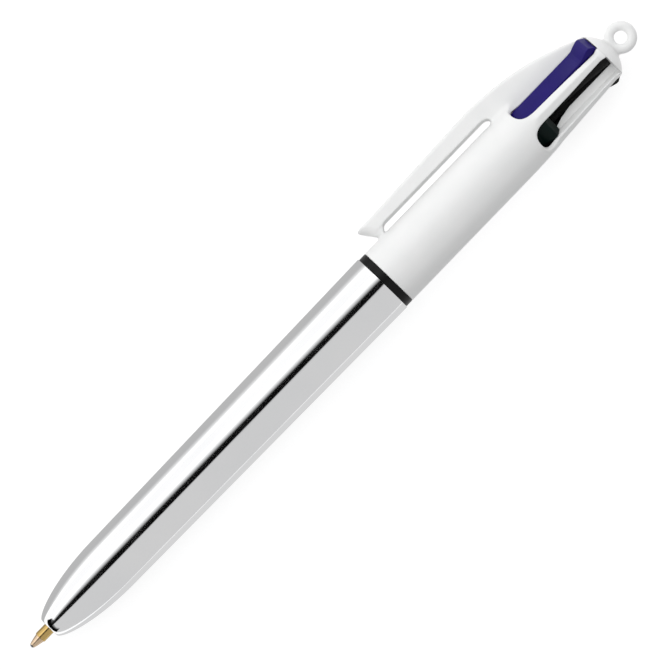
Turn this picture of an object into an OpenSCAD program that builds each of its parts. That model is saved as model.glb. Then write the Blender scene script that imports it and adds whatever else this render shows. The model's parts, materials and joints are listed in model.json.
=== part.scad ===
// Multicolour click pen, lying on a table as it would come to rest: the barrel and one edge of the clip
// touch the table, the nose points along -X and the lanyard loop along +X.
// Every piece is first drawn about its own upright axis (nose down, Z along the pen, clip towards +X)
// and then laid down by lie(). Millimetres throughout.

/* [Barrels] */
// Height of the joint between the lower barrel and the trim ring, from the end of the nose
joint_z = 82.4; // [70:0.1:90]
// Outer radius of the flat end of the nose
nose_r = 1.9; // [1.6:0.05:2.4]
// Length of the rounded nose
ogive_len = 16; // [10:0.5:24]
// Outer radius of the lower barrel where the rounded nose ends
front_r = 5.22; // [5.1:0.02:5.5]
// Outer radius of the lower barrel at the joint
rear_r = 5.88; // [5.7:0.02:6.2]
// Width of the black trim ring
ring_w = 1.45; // [1:0.05:3]
// Outer radius of the trim ring and of the plain part of the upper barrel
upper_r = 5.7; // [5.6:0.02:6]
// Outer radius at the top of the four pillars
crown_r = 4.58; // [4.5:0.02:4.9]
// Bore radius of the upper barrel
upper_bore_r = 4.65; // [4.6:0.01:4.8]
// Height where the upper barrel starts to narrow
shoulder_z = 117; // [114:0.5:118]
// Height of the lower end of the slots
slot_z = 118.25; // [117:0.05:119]
// Height of the top of the pillars, where the end cap starts
crown_z = 136.8; // [136:0.1:138]

/* [Sliders and refills] */
// Distance that a slider travels when it is pushed down
stroke = 14.2; // [10:0.1:14.5]
// Distance from the pen axis to the middle of each refill
refill_pitch_r = 2.8; // [2.7:0.02:2.85]
// Outer radius of the refill tube
tube_r = 1.25; // [1:0.05:1.3]
// Bore radius of the refill tube
tube_bore_r = 0.85; // [0.6:0.05:0.9]
// Distance from the pen axis to the flat outer face of a slider
slider_face_r = 4; // [3.8:0.05:4.1]
// Half of the width of a slider
slider_half_w = 2.1; // [1.8:0.05:2.1]
// How far the thumb piece stands out, from the pen axis
thumb_r = 4.9; // [4.6:0.05:5.2]
// How far the top of a pushed slider sinks towards the pen axis
sink = 1; // [0.4:0.1:1]
// Distance that the writing point stands out of the nose
point_out = 4.6; // [3:0.1:5]
// Diameter of the writing ball
ball_d = 1; // [0.7:0.1:1.2]
// Turns in each return spring
spring_turns = 9; // [6:1:11]

/* [Clip and end cap] */
// Distance from the pen axis to the inner face of the clip
clip_in_r = 7; // [6.8:0.05:7.5]
// Distance from the pen axis to the outer face at the free end of the clip
clip_end_r = 9.35; // [9:0.05:9.6]
// Greatest distance from the pen axis to the outer face of the clip
clip_out_r = 10.05; // [9.8:0.05:10.5]
// Half of the width of the clip
clip_half_w = 2; // [1.8:0.05:2.2]
// Half of the width of the web that carries the clip
web_half_w = 1.7; // [1.4:0.05:1.75]
// Height of the free end of the clip
clip_z = 85.2; // [85:0.1:90]
// Height where the clip leaves its web
clip_root_z = 115.6; // [112:0.1:116]
// Height of the dome on the end cap
dome_h = 2.2; // [1.8:0.1:2.6]
// Outer radius of the lanyard loop
loop_r = 2.88; // [2.6:0.02:3.2]
// Radius of the round wire-like section of the loop
loop_wire_r = 0.9; // [0.7:0.02:1]
// Radius of the hole through the loop
loop_hole_r = 1.15; // [1.12:0.01:1.3]
// Height of the middle of the loop
loop_z = 141.2; // [141:0.1:142]

/* [Hidden] */

// Colours of the plastic, of the ink and of the metal
white_plastic = [0.94, 0.94, 0.93];
black_plastic = [0.04, 0.04, 0.045];
mirror_metal = [0.82, 0.82, 0.84];
clear_tube = [0.85, 0.88, 0.88];
brass = [0.80, 0.62, 0.28];
ball_metal = [0.55, 0.56, 0.58];
blue_plastic = [0.15, 0.10, 0.45];
green_plastic = [0.03, 0.16, 0.14];
red_plastic = [0.70, 0.05, 0.07];

// Places of the four colours about the pen axis, with the clip at 0 degrees
blue_at = 45;
green_at = 135;
black_at = 225;
red_at = 315;

// Lengths along the pen, from the flat end of the nose
ring_top_z = joint_z + ring_w;
sleeve_top_z = ring_top_z + 4.15;
seat_top_z = sleeve_top_z + 1.2;
neck_z = joint_z - 7.4;
foot_z = 110;
foot_h = 1.2;
slider_top_z = crown_z - 0.1;
thumb_low_z = 133.1;
thumb_high_z = 135.4;
stub_len = 2;

// Cross-section sizes
nose_hole_r = 1.2;
bore_front_r = 4.25;
bore_rear_r = 4.75;
neck_r = 4.78;
neck_bore_r = 4.12;
thread_seat_r = 4.85;
sleeve_r = upper_bore_r - 0.01;
seat_r = upper_bore_r - 0.05;
seat_hole_r = tube_r + 0.13;
foot_r = 1.65;
foot_rise = 0.1;
stub_r = 0.72;
slider_in_r = 2.2;
slider_in_half_w = 0.8;
slider_edge_r = 3.5;
channel_half_w = slider_half_w + 0.15;
slot_half_angle = 30;
slot_w = 5.5;
slot_corner_r = 1.8;
slot_lip_h = 0.6;
pillar_in_r = 3.3;
pillar_foot_r = 4.1;
pillar_foot_z = 121.6;
pillar_full_z = 122.4;
fin_half_t = 0.15;
fin_r = 1.9;
partition_in_r = fin_r + 0.05;
partition_low_z = pillar_full_z;
partition_full_z = 126.5;
core_low_r = 0.7;
core_cone_z = 122.9;
core_cone_low_r = 0.9;
core_cone_high_r = 1.85;
spigot_r = 0.8;
spigot_h = 1;

// Springs
spring_r = 1.55;
spring_wire_r = 0.14;
ring_steps = 12;
wire_sides = 6;

// Refill point, measured upwards from the ball
cone_h = 2.2;
cone_r = 0.92;
shank_r = 1.05;
shank_h = 8.6;
socket_r = ball_d / 2 + 0.01;
feed_r = 0.3;
socket_fit = 0.03;
inner_fit = 0.01;

// The refill that is out bends from its place in the ring of four to the pen axis
bend_low_z = 12;
bend_high_z = 80;
bend_rings = 34;
tube_sides = 16;

// Attitude of the pen at rest: the barrel and the outer edge of the clip stand on the table
clip_reach = norm([clip_out_r, clip_half_w]);
roll = asin(rear_r / clip_reach) - atan(clip_half_w / clip_out_r);
low_z = -point_out;
high_z = loop_z + loop_r;
mid_z = (low_z + high_z) / 2;
clip_side_y = clip_out_r * cos(roll) + clip_half_w * sin(roll);
mid_y = (clip_side_y - rear_r) / 2;
sink_angle = asin(sink / (slider_top_z - foot_z));

// Radius of the rounded nose at height z
function ogive(z) = nose_r + (front_r - nose_r) * pow(1 - pow(1 - z / ogive_len, 2), 0.66);

// Point at t (0 to 1) on the curve with four control points
function bezier(p, t) =
    pow(1 - t, 3) * p[0] + 3 * pow(1 - t, 2) * t * p[1] + 3 * (1 - t) * t * t * p[2] + pow(t, 3) * p[3];

// 0 below a, 1 above b and a smooth step between them
function smooth_step(a, b, z) =
    let (u = min(max((z - a) / (b - a), 0), 1)) u * u * (3 - 2 * u);

// Middle line of the refill that is out, at height z
function bent_x(z) = refill_pitch_r * smooth_step(bend_low_z, bend_high_z, z);

// Lays the upright pen down, with its box centred over the origin and its lowest line at z = 0
module lie()
    translate([-mid_z, -mid_y, rear_r])
        rotate([-roll, 0, 0])
            rotate([90, 0, 90])
                children();

// Puts a piece drawn for the +X side at its angle about the pen axis
module at_angle(angle)
    rotate([0, 0, angle])
        children();

// Sinks a slider that is down: a turn about its foot that brings its top towards the pen axis
module sunk()
    translate([refill_pitch_r, 0, foot_z])
        rotate([0, -sink_angle, 0])
            translate([-refill_pitch_r, 0, -foot_z])
                children();

// Closed skin over rings of points that all have the same number of points
module skin(rings, sides) {
    count = len(rings);
    points = [for (ring = rings) for (p = ring) p];
    low_face = [[for (i = [sides - 1 : -1 : 0]) i]];
    high_face = [[for (i = [0 : sides - 1]) (count - 1) * sides + i]];
    walls = [
        for (k = [0 : count - 2])
            for (i = [0 : sides - 1])
                let (j = (i + 1) % sides, a = k * sides)
                    each [[a + i, a + j, a + sides + i], [a + j, a + sides + j, a + sides + i]]
    ];
    polyhedron(points, concat(low_face, high_face, walls), convexity = 6);
}

// Tube that follows the bent refill from z0 to z1
module bent_rod(r, z0, z1)
    skin(
        [
            for (k = [0 : bend_rings])
                let (z = z0 + (z1 - z0) * k / bend_rings)
                    [for (i = [0 : tube_sides - 1])
                        let (a = -360 * i / tube_sides) [bent_x(z) + r * cos(a), r * sin(a), z]]
        ],
        tube_sides
    );

module lower_barrel() {
    steps = 20;
    nose_line = [for (i = [0 : steps]) let (z = ogive_len * pow(i / steps, 1.6)) [ogive(z), z]];
    inside = [
        [thread_seat_r, joint_z],
        [thread_seat_r, neck_z - 0.2],
        [bore_rear_r, neck_z - 0.2],
        [bore_front_r, ogive_len],
        [3.95, 10],
        [nose_hole_r, 1.8],
        [nose_hole_r, 0]
    ];
    color(mirror_metal)
        lie()
            rotate_extrude($fn = 96)
                polygon(concat(nose_line, [[rear_r, joint_z]], inside));
}

module trim_ring() {
    ring_bore_r = neck_r + 0.08;
    color(black_plastic)
        lie()
            translate([0, 0, joint_z])
                difference() {
                    cylinder(h = ring_w, r = upper_r, $fn = 96);
                    translate([0, 0, -1])
                        cylinder(h = ring_w + 2, r = ring_bore_r, $fn = 96);
                }
}

module threaded_sleeve()
    color(black_plastic)
        lie()
            difference() {
                union() {
                    translate([0, 0, neck_z])
                        cylinder(h = ring_top_z - neck_z, r = neck_r, $fn = 96);
                    translate([0, 0, ring_top_z])
                        cylinder(h = sleeve_top_z - ring_top_z, r = sleeve_r, $fn = 96);
                }
                translate([0, 0, neck_z - 1])
                    cylinder(h = sleeve_top_z - neck_z + 2, r = neck_bore_r, $fn = 96);
            }

// Cross-section of the opening that one slider runs in: a straight channel that widens outside
module slot_section()
    union() {
        translate([0, -channel_half_w])
            square([9, 2 * channel_half_w]);
        polygon([[0, 0], [12, 12 * tan(slot_half_angle)], [12, -12 * tan(slot_half_angle)]]);
    }

// Outline of a slot seen from outside, with round lower corners
module slot_outline(height)
    union() {
        translate([-slot_w / 2, slot_corner_r])
            square([slot_w, height - slot_corner_r]);
        translate([slot_corner_r - slot_w / 2, 0])
            square([slot_w - 2 * slot_corner_r, slot_corner_r + 1]);
        for (side = [-1, 1])
            translate([side * (slot_w / 2 - slot_corner_r), slot_corner_r])
                circle(r = slot_corner_r, $fn = 48);
    }

module slot_cutter() {
    height = crown_z - slot_z + 1;
    translate([0, 0, slot_z])
        intersection() {
            linear_extrude(height)
                slot_section();
            rotate([90, 0, 90])
                linear_extrude(12)
                    slot_outline(height);
        }
}

// Side view of the whole clip above its root, x away from the pen axis and y along the pen
module web_outline() {
    bend = [[clip_out_r, 114], [clip_out_r, 121.5], [8.1, 129.5], [crown_r, crown_z]];
    steps = 14;
    outside = [for (i = [0 : steps]) bezier(bend, i / steps)];
    inside = [[4.1, crown_z], [4.1, shoulder_z], [5.2, shoulder_z - 3], [clip_in_r - 0.4, 115.2]];
    difference() {
        polygon(concat([[clip_in_r, clip_root_z - 0.4], [clip_out_r, 113]], outside, inside));
        square([20, clip_root_z]);
    }
}

// Thin walls between the sliders, from the back of each pillar nearly to the guide core
module partitions()
    for (angle = [0, 90, 180, 270])
        at_angle(angle)
            rotate([90, 0, 0])
                linear_extrude(2 * fin_half_t, center = true)
                    polygon([
                        [pillar_in_r + 0.4, pillar_full_z],
                        [partition_in_r + 0.9, partition_low_z],
                        [partition_in_r, partition_full_z],
                        [partition_in_r, crown_z],
                        [pillar_in_r + 0.4, crown_z]
                    ]);

module upper_barrel() {
    outside = [
        [upper_r, ring_top_z],
        [upper_r, 111],
        [5.66, shoulder_z],
        [5.3, 124],
        [5, 130],
        [crown_r, crown_z]
    ];
    inside = [
        [pillar_in_r, crown_z],
        [pillar_in_r, pillar_full_z],
        [pillar_foot_r, pillar_foot_z],
        [upper_bore_r, slot_z + slot_lip_h],
        [upper_bore_r, ring_top_z]
    ];
    color(white_plastic)
        lie()
            union() {
                difference() {
                    union() {
                        rotate_extrude($fn = 96)
                            polygon(concat(outside, inside));
                        intersection() {
                            rotate([90, 0, 0])
                                linear_extrude(2 * web_half_w, center = true)
                                    web_outline();
                            difference() {
                                translate([0, 0, 100])
                                    cylinder(h = 50, r = 20, $fn = 48);
                                translate([0, 0, 99])
                                    cylinder(h = slot_z + slot_lip_h - 99, r = upper_bore_r, $fn = 96);
                            }
                        }
                    }
                    for (angle = [blue_at, green_at, black_at, red_at])
                        at_angle(angle)
                            slot_cutter();
                }
                partitions();
            }
}

module clip() {
    // Side view: x away from the pen axis, y along the pen; the bump grips the barrel
    side = [
        [clip_in_r, clip_root_z],
        [clip_in_r, 91.4],
        [6.75, 90.2],
        [6.05, 88.8],
        [upper_r + 0.06, 88.1],
        [upper_r + 0.06, 87.5],
        [6.1, 87],
        [clip_end_r - 0.5, clip_z],
        [clip_end_r, clip_z + 0.5],
        [clip_end_r, 92],
        [clip_out_r, 112],
        [clip_out_r, clip_root_z]
    ];
    // Front view: x across the clip, y along the pen; the free end is round
    color(white_plastic)
        lie()
            intersection() {
                rotate([90, 0, 0])
                    linear_extrude(3 * clip_half_w, center = true)
                        polygon(side);
                translate([4, 0, 0])
                    rotate([90, 0, 90])
                        linear_extrude(8)
                            union() {
                                polygon([
                                    [-web_half_w, clip_root_z],
                                    [-clip_half_w, 112],
                                    [-clip_half_w, clip_z + clip_half_w],
                                    [clip_half_w, clip_z + clip_half_w],
                                    [clip_half_w, 112],
                                    [web_half_w, clip_root_z]
                                ]);
                                translate([0, clip_z + clip_half_w])
                                    circle(r = clip_half_w, $fn = 48);
                            }
            }
}

module end_cap() {
    dome_r = (crown_r * crown_r + dome_h * dome_h) / (2 * dome_h);
    loop_mid_r = loop_r - loop_wire_r;
    foot_w = 2.6;
    color(white_plastic)
        lie()
            difference() {
                union() {
                    intersection() {
                        translate([0, 0, crown_z + dome_h - dome_r])
                            sphere(r = dome_r, $fn = 96);
                        translate([0, 0, crown_z])
                            cylinder(h = dome_h + 1, r = crown_r, $fn = 96);
                    }
                    translate([0, 0, loop_z])
                        rotate([90, 0, 0])
                            rotate_extrude($fn = 64)
                                translate([loop_mid_r, 0])
                                    circle(r = loop_wire_r, $fn = 48);
                    translate([0, 0, crown_z + 1])
                        cylinder(h = loop_z - loop_mid_r - crown_z - 0.8, r1 = foot_w / 2 + 0.1, r2 = 0.85, $fn = 48);
                }
                translate([0, 0, loop_z])
                    rotate([90, 0, 0])
                        cylinder(h = 8, r = loop_hole_r, center = true, $fn = 64);
                translate([0, 0, crown_z - 1])
                    cylinder(h = spigot_h + 1.05, r = spigot_r + inner_fit, $fn = 48);
            }
}

// Cross-shaped guide in the middle of the four sliders; its cone lets a pushed slider lean in
module guide_core()
    color(black_plastic)
        lie()
            union() {
                translate([0, 0, seat_top_z])
                    cylinder(h = crown_z - seat_top_z, r = core_low_r, $fn = 48);
                translate([0, 0, core_cone_z])
                    cylinder(h = crown_z - core_cone_z, r1 = core_cone_low_r, r2 = core_cone_high_r, $fn = 48);
                translate([0, 0, crown_z - 1])
                    cylinder(h = spigot_h + 1, r = spigot_r, $fn = 48);
                for (angle = [0, 90])
                    rotate([0, 0, angle])
                        translate([-fin_r, -fin_half_t, seat_top_z])
                            cube([2 * fin_r, 2 * fin_half_t, crown_z - seat_top_z]);
            }

module spring_seat()
    color(black_plastic)
        lie()
            difference() {
                translate([0, 0, sleeve_top_z])
                    cylinder(h = seat_top_z - sleeve_top_z, r = seat_r, $fn = 96);
                for (angle = [blue_at, green_at, black_at, red_at])
                    at_angle(angle)
                        translate([refill_pitch_r, 0, sleeve_top_z - 1])
                            cylinder(h = seat_top_z - sleeve_top_z + 2, r = seat_hole_r, $fn = 48);
            }

// Slider in its upper place: keystone bar, thumb piece, round foot for the spring, stub for the refill
module slider_shape()
    union() {
        difference() {
            translate([0, 0, foot_z + foot_rise])
                linear_extrude(slider_top_z - foot_z - foot_rise)
                    polygon([
                        [slider_in_r, -slider_in_half_w],
                        [slider_edge_r, -slider_half_w],
                        [slider_face_r, -slider_half_w],
                        [slider_face_r, slider_half_w],
                        [slider_edge_r, slider_half_w],
                        [slider_in_r, slider_in_half_w]
                    ]);
            // The lower corners are taken off so that the bar follows the round foot
            for (side = [-1, 1])
                translate([slider_edge_r - 2, side * slider_half_w, foot_z])
                    rotate([side * 45, 0, 0])
                        cube([4, 1.2, 1.2], center = true);
        }
        rotate([90, 0, 0])
            linear_extrude(2 * slider_half_w, center = true)
                polygon([
                    [slider_face_r - 0.5, thumb_low_z],
                    [slider_face_r, thumb_low_z],
                    [thumb_r - 0.12, thumb_high_z - 0.5],
                    [thumb_r, thumb_high_z - 0.1],
                    [thumb_r - 0.12, thumb_high_z + 0.25],
                    [thumb_r - 0.35, thumb_high_z + 0.5],
                    [slider_face_r, slider_top_z],
                    [slider_face_r - 0.5, slider_top_z]
                ]);
        // The underside of the foot rises towards its rim, so that the slider can lean on its refill
        translate([refill_pitch_r, 0, foot_z])
            cylinder(h = foot_rise, r1 = 0, r2 = foot_r, $fn = 48);
        translate([refill_pitch_r, 0, foot_z + foot_rise])
            cylinder(h = foot_h - foot_rise, r = foot_r, $fn = 48);
        translate([refill_pitch_r, 0, foot_z - stub_len])
            cylinder(h = stub_len + 0.5, r = stub_r, $fn = 48);
    }

module slider(angle, tint, down)
    color(tint)
        lie()
            at_angle(angle)
                if (down)
                    translate([0, 0, -stroke])
                        sunk()
                            slider_shape();
                else
                    slider_shape();

// Return spring between the seat and the foot of a slider
module spring(angle, top_z) {
    low = seat_top_z + spring_wire_r;
    high = top_z - spring_wire_r;
    turns = spring_turns + 2;
    count = turns * ring_steps;
    // The first and last turns lie nearly flat
    function climb(u) =
        let (v = u * turns)
            v < 1 ? 0.045 * v :
            v > turns - 1 ? 1 - 0.045 * (turns - v) :
            0.045 + 0.91 * (v - 1) / (turns - 2);
    rings = [
        for (k = [0 : count])
            let (u = k / count, a = 360 * u * turns, z = low + (high - low) * climb(u))
                [for (i = [0 : wire_sides - 1])
                    let (b = 360 * i / wire_sides, r = spring_r + spring_wire_r * cos(b))
                        [r * cos(a), r * sin(a), z + spring_wire_r * sin(b)]]
    ];
    color(mirror_metal)
        lie()
            at_angle(angle)
                translate([refill_pitch_r, 0, 0])
                    skin(rings, wire_sides);
}

// Straight refill tube of a slider that is up
module straight_tube(angle)
    color(clear_tube)
        lie()
            at_angle(angle)
                translate([refill_pitch_r, 0, stroke - point_out + shank_h])
                    difference() {
                        cylinder(h = foot_z - stroke + point_out - shank_h, r = tube_r, $fn = 48);
                        translate([0, 0, -1])
                            cylinder(h = foot_z, r = tube_bore_r, $fn = 48);
                    }

// Bent refill tube of the slider that is down
module bent_tube(angle) {
    low = shank_h - point_out;
    high = foot_z - stroke;
    color(clear_tube)
        lie()
            at_angle(angle)
                difference() {
                    bent_rod(tube_r, low, high);
                    bent_rod(tube_bore_r, low - 0.5, high + 0.5);
                }
}

// Ink, shown as a solid that fills the refill tube between the point and a level below the slider
module straight_ink(angle, tint, level)
    color(tint)
        lie()
            at_angle(angle)
                translate([refill_pitch_r, 0, stroke - point_out + shank_h + 3])
                    cylinder(h = level, r = tube_bore_r - 0.02, $fn = 32);

module bent_ink(angle, tint, level) {
    low = shank_h - point_out + 3;
    color(tint)
        lie()
            at_angle(angle)
                bent_rod(tube_bore_r - 0.06, low, low + level);
}

// Writing point: cone, shank that runs through the nose and spigot inside the tube; x is its distance
// from the pen axis and z the height of its lowest end
module point(angle, x, z) {
    spigot_top = shank_h + 3;
    color(brass)
        lie()
            at_angle(angle)
                translate([x, 0, z])
                    difference() {
                        rotate_extrude($fn = 48)
                            polygon([
                                [0, 0.3],
                                [0.46, 0.3],
                                [cone_r, cone_h],
                                [shank_r, cone_h + 0.12],
                                [shank_r, shank_h],
                                [tube_bore_r - socket_fit, shank_h],
                                [tube_bore_r - socket_fit, spigot_top],
                                [0, spigot_top]
                            ]);
                        translate([0, 0, ball_d / 2])
                            sphere(r = socket_r, $fn = 32);
                        translate([0, 0, ball_d / 2])
                            cylinder(h = spigot_top, r = feed_r, $fn = 24);
                    }
}

module ball(angle, x, z)
    color(ball_metal)
        lie()
            at_angle(angle)
                translate([x, 0, z + ball_d / 2])
                    sphere(r = ball_d / 2, $fn = 32);

// Height of the lowest end of a point that is in
in_z = stroke - point_out;

lower_barrel();
trim_ring();
threaded_sleeve();
upper_barrel();
clip();
end_cap();
guide_core();
spring_seat();
slider(blue_at, blue_plastic, false);  // slider_blue
slider(green_at, green_plastic, true);  // slider_green
slider(black_at, black_plastic, false);  // slider_black
slider(red_at, red_plastic, false);  // slider_red
spring(blue_at, foot_z);  // spring_blue
spring(green_at, foot_z - stroke);  // spring_green
spring(black_at, foot_z);  // spring_black
spring(red_at, foot_z);  // spring_red
straight_tube(blue_at);  // refill_tube_blue
bent_tube(green_at);  // refill_tube_green
straight_tube(black_at);  // refill_tube_black
straight_tube(red_at);  // refill_tube_red
straight_ink(blue_at, blue_plastic, 70);  // ink_blue
bent_ink(green_at, green_plastic, 66);  // ink_green
straight_ink(black_at, black_plastic, 62);  // ink_black
straight_ink(red_at, red_plastic, 74);  // ink_red
point(blue_at, refill_pitch_r, in_z);  // point_blue
point(green_at, 0, -point_out);  // point_green
point(black_at, refill_pitch_r, in_z);  // point_black
point(red_at, refill_pitch_r, in_z);  // point_red
ball(blue_at, refill_pitch_r, in_z);  // ball_blue
ball(green_at, 0, -point_out);  // ball_green
ball(black_at, refill_pitch_r, in_z);  // ball_black
ball(red_at, refill_pitch_r, in_z);  // ball_red
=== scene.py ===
"""Looks of the multicolour click pen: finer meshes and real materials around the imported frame."""

import json
import math

import bmesh
import bpy
import numpy as np
from mathutils import Matrix, Vector


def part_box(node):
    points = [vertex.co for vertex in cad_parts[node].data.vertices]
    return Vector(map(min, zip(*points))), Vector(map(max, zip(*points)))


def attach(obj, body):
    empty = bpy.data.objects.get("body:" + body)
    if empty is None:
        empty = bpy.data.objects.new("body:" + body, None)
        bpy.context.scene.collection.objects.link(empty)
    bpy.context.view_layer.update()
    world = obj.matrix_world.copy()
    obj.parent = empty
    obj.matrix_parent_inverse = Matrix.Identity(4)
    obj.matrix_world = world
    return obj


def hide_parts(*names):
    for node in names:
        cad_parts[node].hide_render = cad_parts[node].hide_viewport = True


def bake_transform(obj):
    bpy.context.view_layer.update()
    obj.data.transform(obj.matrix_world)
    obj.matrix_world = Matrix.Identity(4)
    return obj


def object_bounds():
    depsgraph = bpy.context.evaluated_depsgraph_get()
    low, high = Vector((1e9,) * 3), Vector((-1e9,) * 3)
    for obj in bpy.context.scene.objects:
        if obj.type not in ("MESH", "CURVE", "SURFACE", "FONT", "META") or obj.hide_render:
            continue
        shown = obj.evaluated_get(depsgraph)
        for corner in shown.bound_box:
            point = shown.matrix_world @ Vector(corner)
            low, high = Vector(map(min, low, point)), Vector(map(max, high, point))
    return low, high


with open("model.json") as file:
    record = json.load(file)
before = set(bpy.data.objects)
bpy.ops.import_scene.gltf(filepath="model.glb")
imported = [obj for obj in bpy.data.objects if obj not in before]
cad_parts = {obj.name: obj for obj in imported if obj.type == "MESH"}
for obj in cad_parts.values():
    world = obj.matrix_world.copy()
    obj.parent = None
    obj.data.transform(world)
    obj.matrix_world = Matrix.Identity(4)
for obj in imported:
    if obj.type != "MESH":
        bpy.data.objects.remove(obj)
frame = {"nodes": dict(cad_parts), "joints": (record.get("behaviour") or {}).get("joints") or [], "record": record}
CAD_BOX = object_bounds()

# ------------------------------------------------------------------------------------------------
# The pen's own frame, in millimetres: z runs from the end of the nose to the loop, x points to the
# clip, and y completes it. Everything is drawn there and laid down by to_row().
# ------------------------------------------------------------------------------------------------
MM = 0.001
COLOURS = {"blue": 45, "green": 135, "black": 225, "red": 315}
DOWN = "green"

barrel_low, barrel_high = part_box("lower_barrel")
ring_low, ring_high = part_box("trim_ring")
sleeve_low, sleeve_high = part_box("threaded_sleeve")
crown_low, crown_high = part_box("end_cap")
joints = {j["name"]: j for j in frame["joints"]}
mounts = {m["name"]: m for m in frame["record"]["mounts"]}

AXIS = Vector((1, 0, 0))
SIDE = -Vector(joints["clip_flex"]["axis"])
CLIP = SIDE.cross(AXIS)
ORIGIN = Vector(
    (barrel_low.x, (barrel_low.y + barrel_high.y) / 2, (barrel_low.z + barrel_high.z) / 2)
)
BASIS = np.array([CLIP, SIDE, AXIS])


def along(x):
    """Height z in the pen's frame of a place x in the row frame."""
    return (x - ORIGIN.x) / MM


JOINT_Z = along(barrel_high.x)
REAR_R = (barrel_high.z - barrel_low.z) / 2 / MM
RING_TOP_Z = along(ring_high.x)
UPPER_R = (ring_high.z - ring_low.z) / 2 / MM
CROWN_Z = along(crown_low.x)
CROWN_R = (crown_high.z - crown_low.z) / 2 / MM
CLIP_Z = along(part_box("clip")[0].x)
CLIP_ROOT_Z = along(joints["clip_flex"]["pos_m"][0])
CLIP_OUT_R = (Vector(joints["clip_flex"]["pos_m"]) - ORIGIN).dot(CLIP) / MM
LOOP_Z = along(mounts["lanyard_loop"]["pos_m"][0])
LOOP_HOLE_R = mounts["lanyard_loop"]["dims"]["r_mm"]
LOOP_R = along(crown_high.x) - LOOP_Z
STROKE = joints["blue_click"]["range_m"][1] / MM
LEAN = math.radians(joints["blue_lean"]["range_deg"][1])
PITCH_R = joints["blue_point_centring"]["range_m"][1] / MM
FOOT_Z = along(joints["blue_lean"]["pos_m"][0])
SLIDER_TOP_Z = along(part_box("slider_blue")[1].x)
SEAT_TOP_Z = along(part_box("spring_seat")[1].x)
SLEEVE_TOP_Z = along(sleeve_high.x)
NECK_Z = along(sleeve_low.x)
TIP_Z = along(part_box("ball_green")[0].x)
SHANK_H = along(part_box("refill_tube_green")[0].x) - TIP_Z


def to_row(points):
    """Points of the pen's frame, in millimetres, as places in the row frame, in metres."""
    return np.asarray(points, float) @ BASIS * MM + np.array(ORIGIN)


def about_axis(points, angle):
    """Points turned about the pen's axis by an angle in degrees."""
    c, s = math.cos(math.radians(angle)), math.sin(math.radians(angle))
    p = np.asarray(points, float)
    return np.stack([c * p[..., 0] - s * p[..., 1], s * p[..., 0] + c * p[..., 1], p[..., 2]], -1)


# ------------------------------------------------------------------------------------------------
# Mesh helpers
# ------------------------------------------------------------------------------------------------
WELD_DISTANCE = 1e-6
BEVEL_SEGMENTS = 3
BEVEL_ANGLE = math.radians(35)


def make_mesh(name, points, faces, sharp=None, normals=None):
    """Mesh object from points of the pen's frame. It is smooth except at edges that turn by more
    than sharp degrees."""
    mesh = bpy.data.meshes.new(name)
    mesh.from_pydata(to_row(points).tolist(), [], [list(map(int, f)) for f in faces])
    mesh.validate()
    mesh.shade_smooth()
    if sharp is not None:
        mesh.set_sharp_from_angle(angle=math.radians(sharp))
    if normals is not None:
        mesh.normals_split_custom_set_from_vertices((normals @ BASIS).tolist())
    obj = bpy.data.objects.new(name, mesh)
    bpy.context.scene.collection.objects.link(obj)
    return obj


def rounded(corners, steps=6):
    """Outline of (r, z, fillet) corners with each fillet drawn as an arc."""
    out = []
    count = len(corners)
    for i, (r, z, fillet) in enumerate(corners):
        here = np.array([r, z])
        if fillet <= 0:
            out.append((r, z))
            continue
        before = np.array(corners[i - 1][:2]) - here
        after = np.array(corners[(i + 1) % count][:2]) - here
        before /= np.linalg.norm(before)
        after /= np.linalg.norm(after)
        half = math.acos(float(np.clip(before @ after, -1, 1))) / 2
        reach = fillet / math.tan(half)
        start, end = here + before * reach, here + after * reach
        centre = here + (before + after) / np.linalg.norm(before + after) * fillet / math.sin(half)
        a0 = math.atan2(*(start - centre)[::-1])
        turn = (math.atan2(*(end - centre)[::-1]) - a0 + math.pi) % (2 * math.pi) - math.pi
        for k in range(steps + 1):
            a = a0 + turn * k / steps
            out.append((centre[0] + fillet * math.cos(a), centre[1] + fillet * math.sin(a)))
    return out


def lathe(name, outline, segments=160, sharp=35, offset=(0, 0), angle=0, bumps=None):
    """Closed outline of (r, z) turned about the pen's axis, or about a parallel axis at offset.
    bumps(r, z, a) may change the radius."""
    outline = np.array(outline, float)
    turns = np.linspace(0, 2 * math.pi, segments, endpoint=False)
    r = np.repeat(outline[:, 0][:, None], segments, 1)
    z = np.repeat(outline[:, 1][:, None], segments, 1)
    a = np.repeat(turns[None, :], len(outline), 0)
    if bumps:
        r = bumps(r, z, a)
    points = np.stack([r * np.cos(a) + offset[0], r * np.sin(a) + offset[1], z], -1)
    points = about_axis(points, angle).reshape(-1, 3)
    faces = []
    rows = len(outline)
    for i in range(rows):
        j = (i + 1) % rows
        for k in range(segments):
            m = (k + 1) % segments
            faces.append([i * segments + k, i * segments + m, j * segments + m, j * segments + k])
    return weld(make_mesh(name, points, faces, sharp))


def soften(obj, width):
    """Rounds the sharp edges of a piece by a width in millimetres."""
    bevel = obj.modifiers.new("soft_edges", "BEVEL")
    bevel.width = width * MM
    bevel.segments = BEVEL_SEGMENTS
    bevel.limit_method = "ANGLE"
    bevel.angle_limit = BEVEL_ANGLE
    bevel.harden_normals = True


def weld(obj):
    """Joins points that lie in one place and turns the faces outward."""
    work = bmesh.new()
    work.from_mesh(obj.data)
    bmesh.ops.remove_doubles(work, verts=work.verts, dist=WELD_DISTANCE)
    bmesh.ops.recalc_face_normals(work, faces=work.faces)
    work.to_mesh(obj.data)
    work.free()
    return obj


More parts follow.
